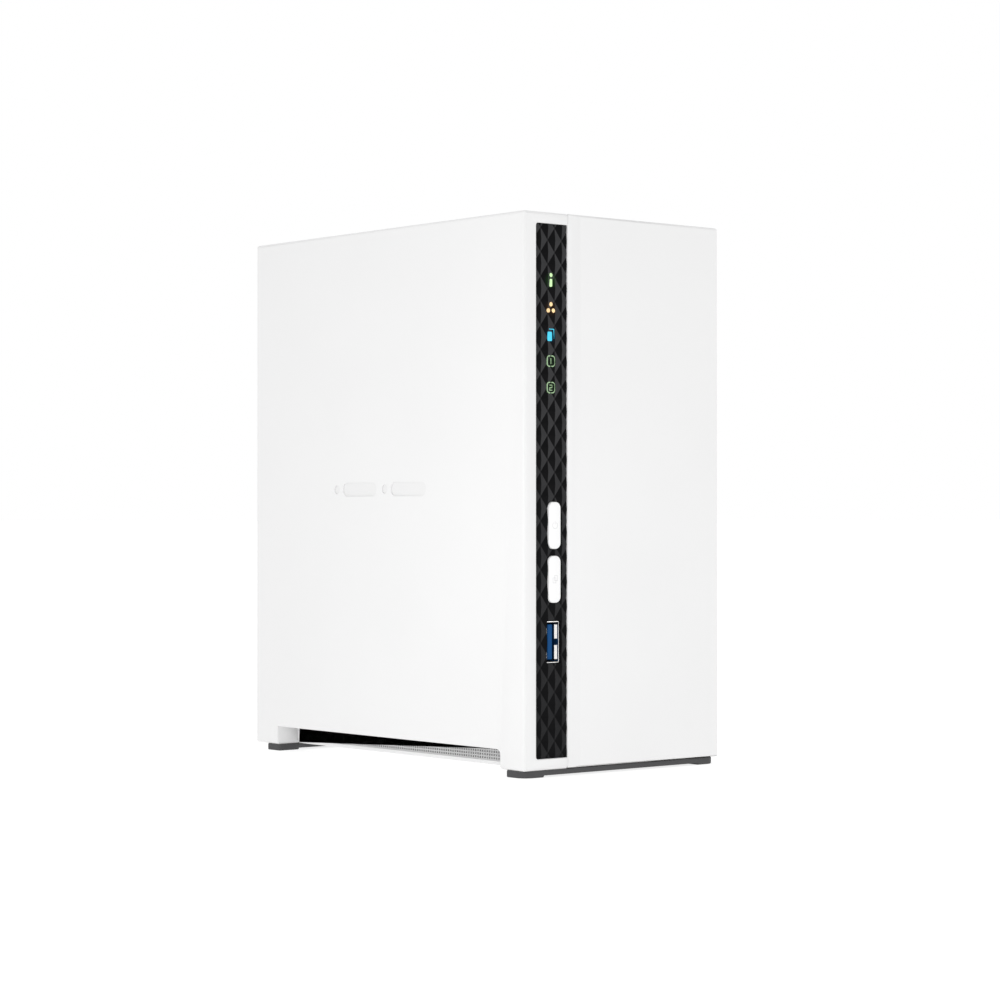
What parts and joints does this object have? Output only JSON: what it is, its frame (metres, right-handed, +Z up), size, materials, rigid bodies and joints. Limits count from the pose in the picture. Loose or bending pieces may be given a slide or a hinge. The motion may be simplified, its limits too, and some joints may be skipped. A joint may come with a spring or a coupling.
{
  "type": "two-bay network attached storage",
  "caption": "Upright desktop network storage box with upright drives, a faceted front strip with push buttons and a data port, a rear fan and a cover that slides forwards.",
  "frame": {"origin": "on the ground, under the centre of the footprint", "axes": "+X to the object's right seen from the front, +Y to the rear, +Z up; the front face looks along -Y"},
  "size_m": [0.0902, 0.1562, 0.1894],
  "materials": {
    "white_shell": "fine satin white moulding",
    "black_strip": "satin black faceted moulding",
    "white_button": "satin white",
    "clear_guide": "clear moulding",
    "lens_pale_green": "lit pale green",
    "lens_amber": "lit amber",
    "lens_blue": "lit blue",
    "lens_green": "lit green",
    "rubber_foot": "dark grey rubber",
    "board_green": "solder mask over glass laminate",
    "board_blue": "solder mask over glass laminate",
    "black_part": "matte black moulding",
    "ivory_part": "natural nylon",
    "blue_tongue": "blue moulding",
    "plated_steel": "bright nickel plate",
    "zinc_sheet": "zinc plated sheet",
    "screw_steel": "nickel plated screws",
    "cast_alloy": "die cast alloy",
    "lid_steel": "brushed stainless lid",
    "sink_alloy": "extruded alloy",
    "can_alloy": "capacitor can",
    "ferrite": "pressed ferrite",
    "cell_steel": "stainless cell can",
    "grille_white": "white painted sheet"
  },
  "bodies": {
    "chassis": {"left_case": "white_shell", "rear_panel": "white_shell", "front_strip": "black_strip", "light_guide": "clear_guide", "status_lens": "lens_pale_green", "network_lens": "lens_amber", "copy_lens": "lens_blue", "drive_1_lens": "lens_green", "drive_2_lens": "lens_green", "power_switch": "black_part", "copy_switch": "black_part", "reset_switch": "black_part", "indicator_leds": "ivory_part", "main_board": "board_green", "processor": "black_part", "heatsink": "sink_alloy", "memory_chips": "black_part", "capacitors": "can_alloy", "inductors": "ferrite", "buzzer": "black_part", "coin_cell": "cell_steel", "coin_cell_holder": "ivory_part", "network_jack": "plated_steel", "power_jack": "black_part", "front_usb_shell": "plated_steel", "front_usb_tongue": "blue_tongue", "rear_usb_shell_1": "plated_steel", "rear_usb_shell_2": "plated_steel", "rear_usb_tongue_1": "blue_tongue", "rear_usb_tongue_2": "blue_tongue", "board_screws": "screw_steel", "backplane_board": "board_green", "riser_connector": "ivory_part", "sata_socket_1": "black_part", "sata_socket_2": "black_part", "drive_cage": "zinc_sheet", "drive_1_casting": "cast_alloy", "drive_2_casting": "cast_alloy", "drive_1_lid": "lid_steel", "drive_2_lid": "lid_steel", "drive_1_circuit": "board_blue", "drive_2_circuit": "board_blue", "drive_screws": "screw_steel", "cage_screws": "screw_steel", "fan_frame": "black_part", "fan_cable": "black_part", "fan_plug": "ivory_part", "fan_screws": "screw_steel", "case_screws": "screw_steel", "panel_screws": "screw_steel", "lock_plate": "zinc_sheet", "left_vent_grille": "grille_white", "right_vent_grille": "grille_white", "front_foot": "rubber_foot", "rear_foot": "rubber_foot"},
    "cover": {"right_cover": "white_shell"},
    "power_button": {"power_button": "white_button"},
    "copy_button": {"copy_button": "white_button"},
    "reset_button": {"reset_button": "black_part"},
    "fan_rotor": {"fan_rotor": "black_part"}
  },
  "joints": [
    {"name": "cover_slide", "type": "slide", "parent": "chassis", "child": "cover", "axis": [0, -1, 0], "range_m": [0, 0.17]},
    {"name": "power_button_press", "type": "slide", "parent": "chassis", "child": "power_button", "axis": [0, 1, 0], "range_m": [0, 0.0005], "stiffness_N_per_m": 800, "springref_m": -0.0008},
    {"name": "copy_button_press", "type": "slide", "parent": "chassis", "child": "copy_button", "axis": [0, 1, 0], "range_m": [0, 0.0005], "stiffness_N_per_m": 800, "springref_m": -0.0008},
    {"name": "reset_button_press", "type": "slide", "parent": "chassis", "child": "reset_button", "axis": [0, -1, 0], "range_m": [0, 0.0003], "stiffness_N_per_m": 600, "springref_m": -0.0006},
    {"name": "fan_spin", "type": "hinge", "parent": "chassis", "child": "fan_rotor", "pos_m": [0.0065, 0.0628, 0.143], "axis": [0, 1, 0], "continuous": true}
  ]
}
